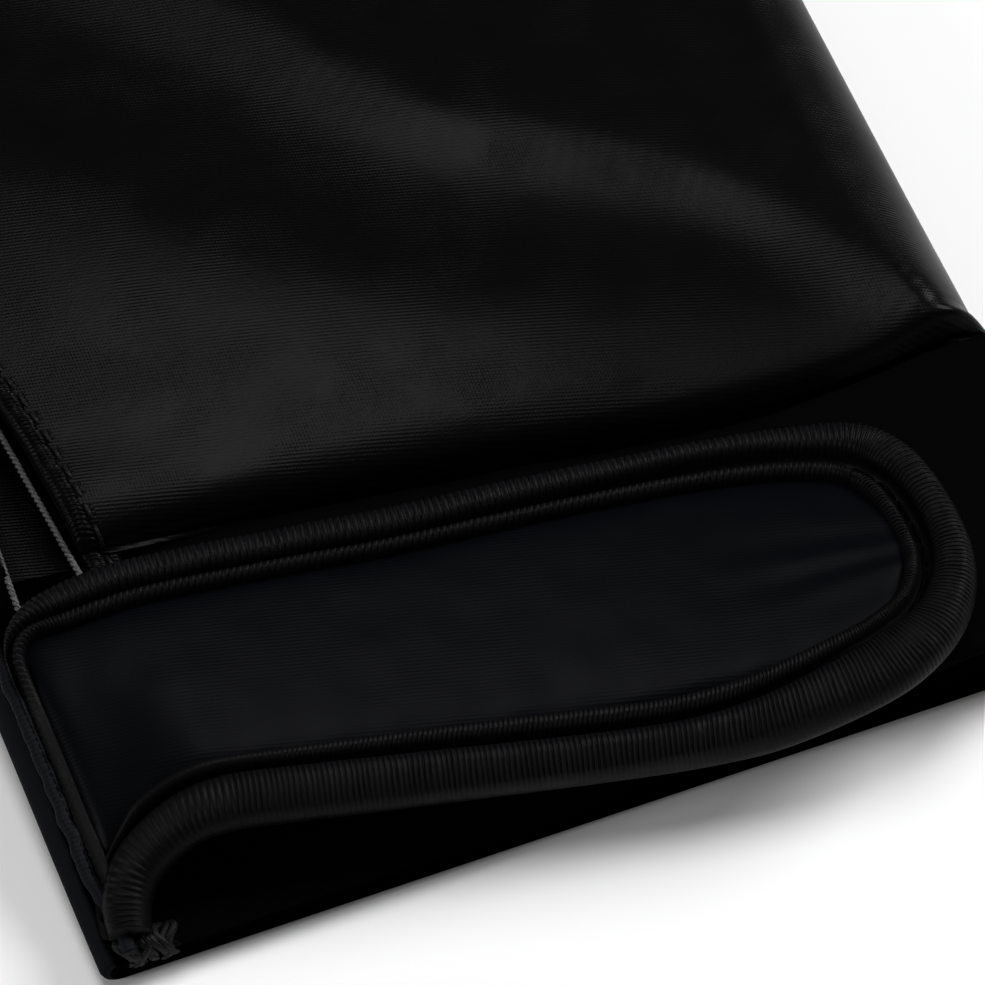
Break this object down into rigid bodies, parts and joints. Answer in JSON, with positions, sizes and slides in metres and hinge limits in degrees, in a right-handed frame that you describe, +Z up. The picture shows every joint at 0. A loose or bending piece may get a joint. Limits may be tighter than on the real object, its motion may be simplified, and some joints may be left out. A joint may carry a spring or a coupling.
{
  "type": "billiard glove",
  "caption": "Black stretch-cloth billiard glove for a right hand, lying palm down, with covered thumb, index and middle finger and a strap that closes at the wrist.",
  "frame": {"origin": "on the resting plane, below the middle of the palm", "axes": "+Y to the fingertips, +X to the little finger's side, +Z up from the palm to the back of the hand"},
  "size_m": [0.1299, 0.202, 0.0147],
  "materials": {
    "stretch_cloth": "matt black stretch knit with fine courses",
    "band_cloth": "smooth dark knit",
    "strap_cloth": "smooth blue-black padded cloth",
    "binding_tape": "ribbed black elastic tape",
    "thread": "black sewing thread",
    "fastener_pile": "black hook-and-loop pile"
  },
  "bodies": {
    "root": {"hand_shell": "stretch_cloth", "finger_sheaths": "stretch_cloth", "thumb_sheath": "stretch_cloth", "wristband": "band_cloth", "strap_panel": "strap_cloth", "strap_binding": "binding_tape", "slit_hem": "stretch_cloth", "root_seam": "thread", "bar_tack": "thread", "touch_fastener": "fastener_pile"}
  },
  "joints": []
}
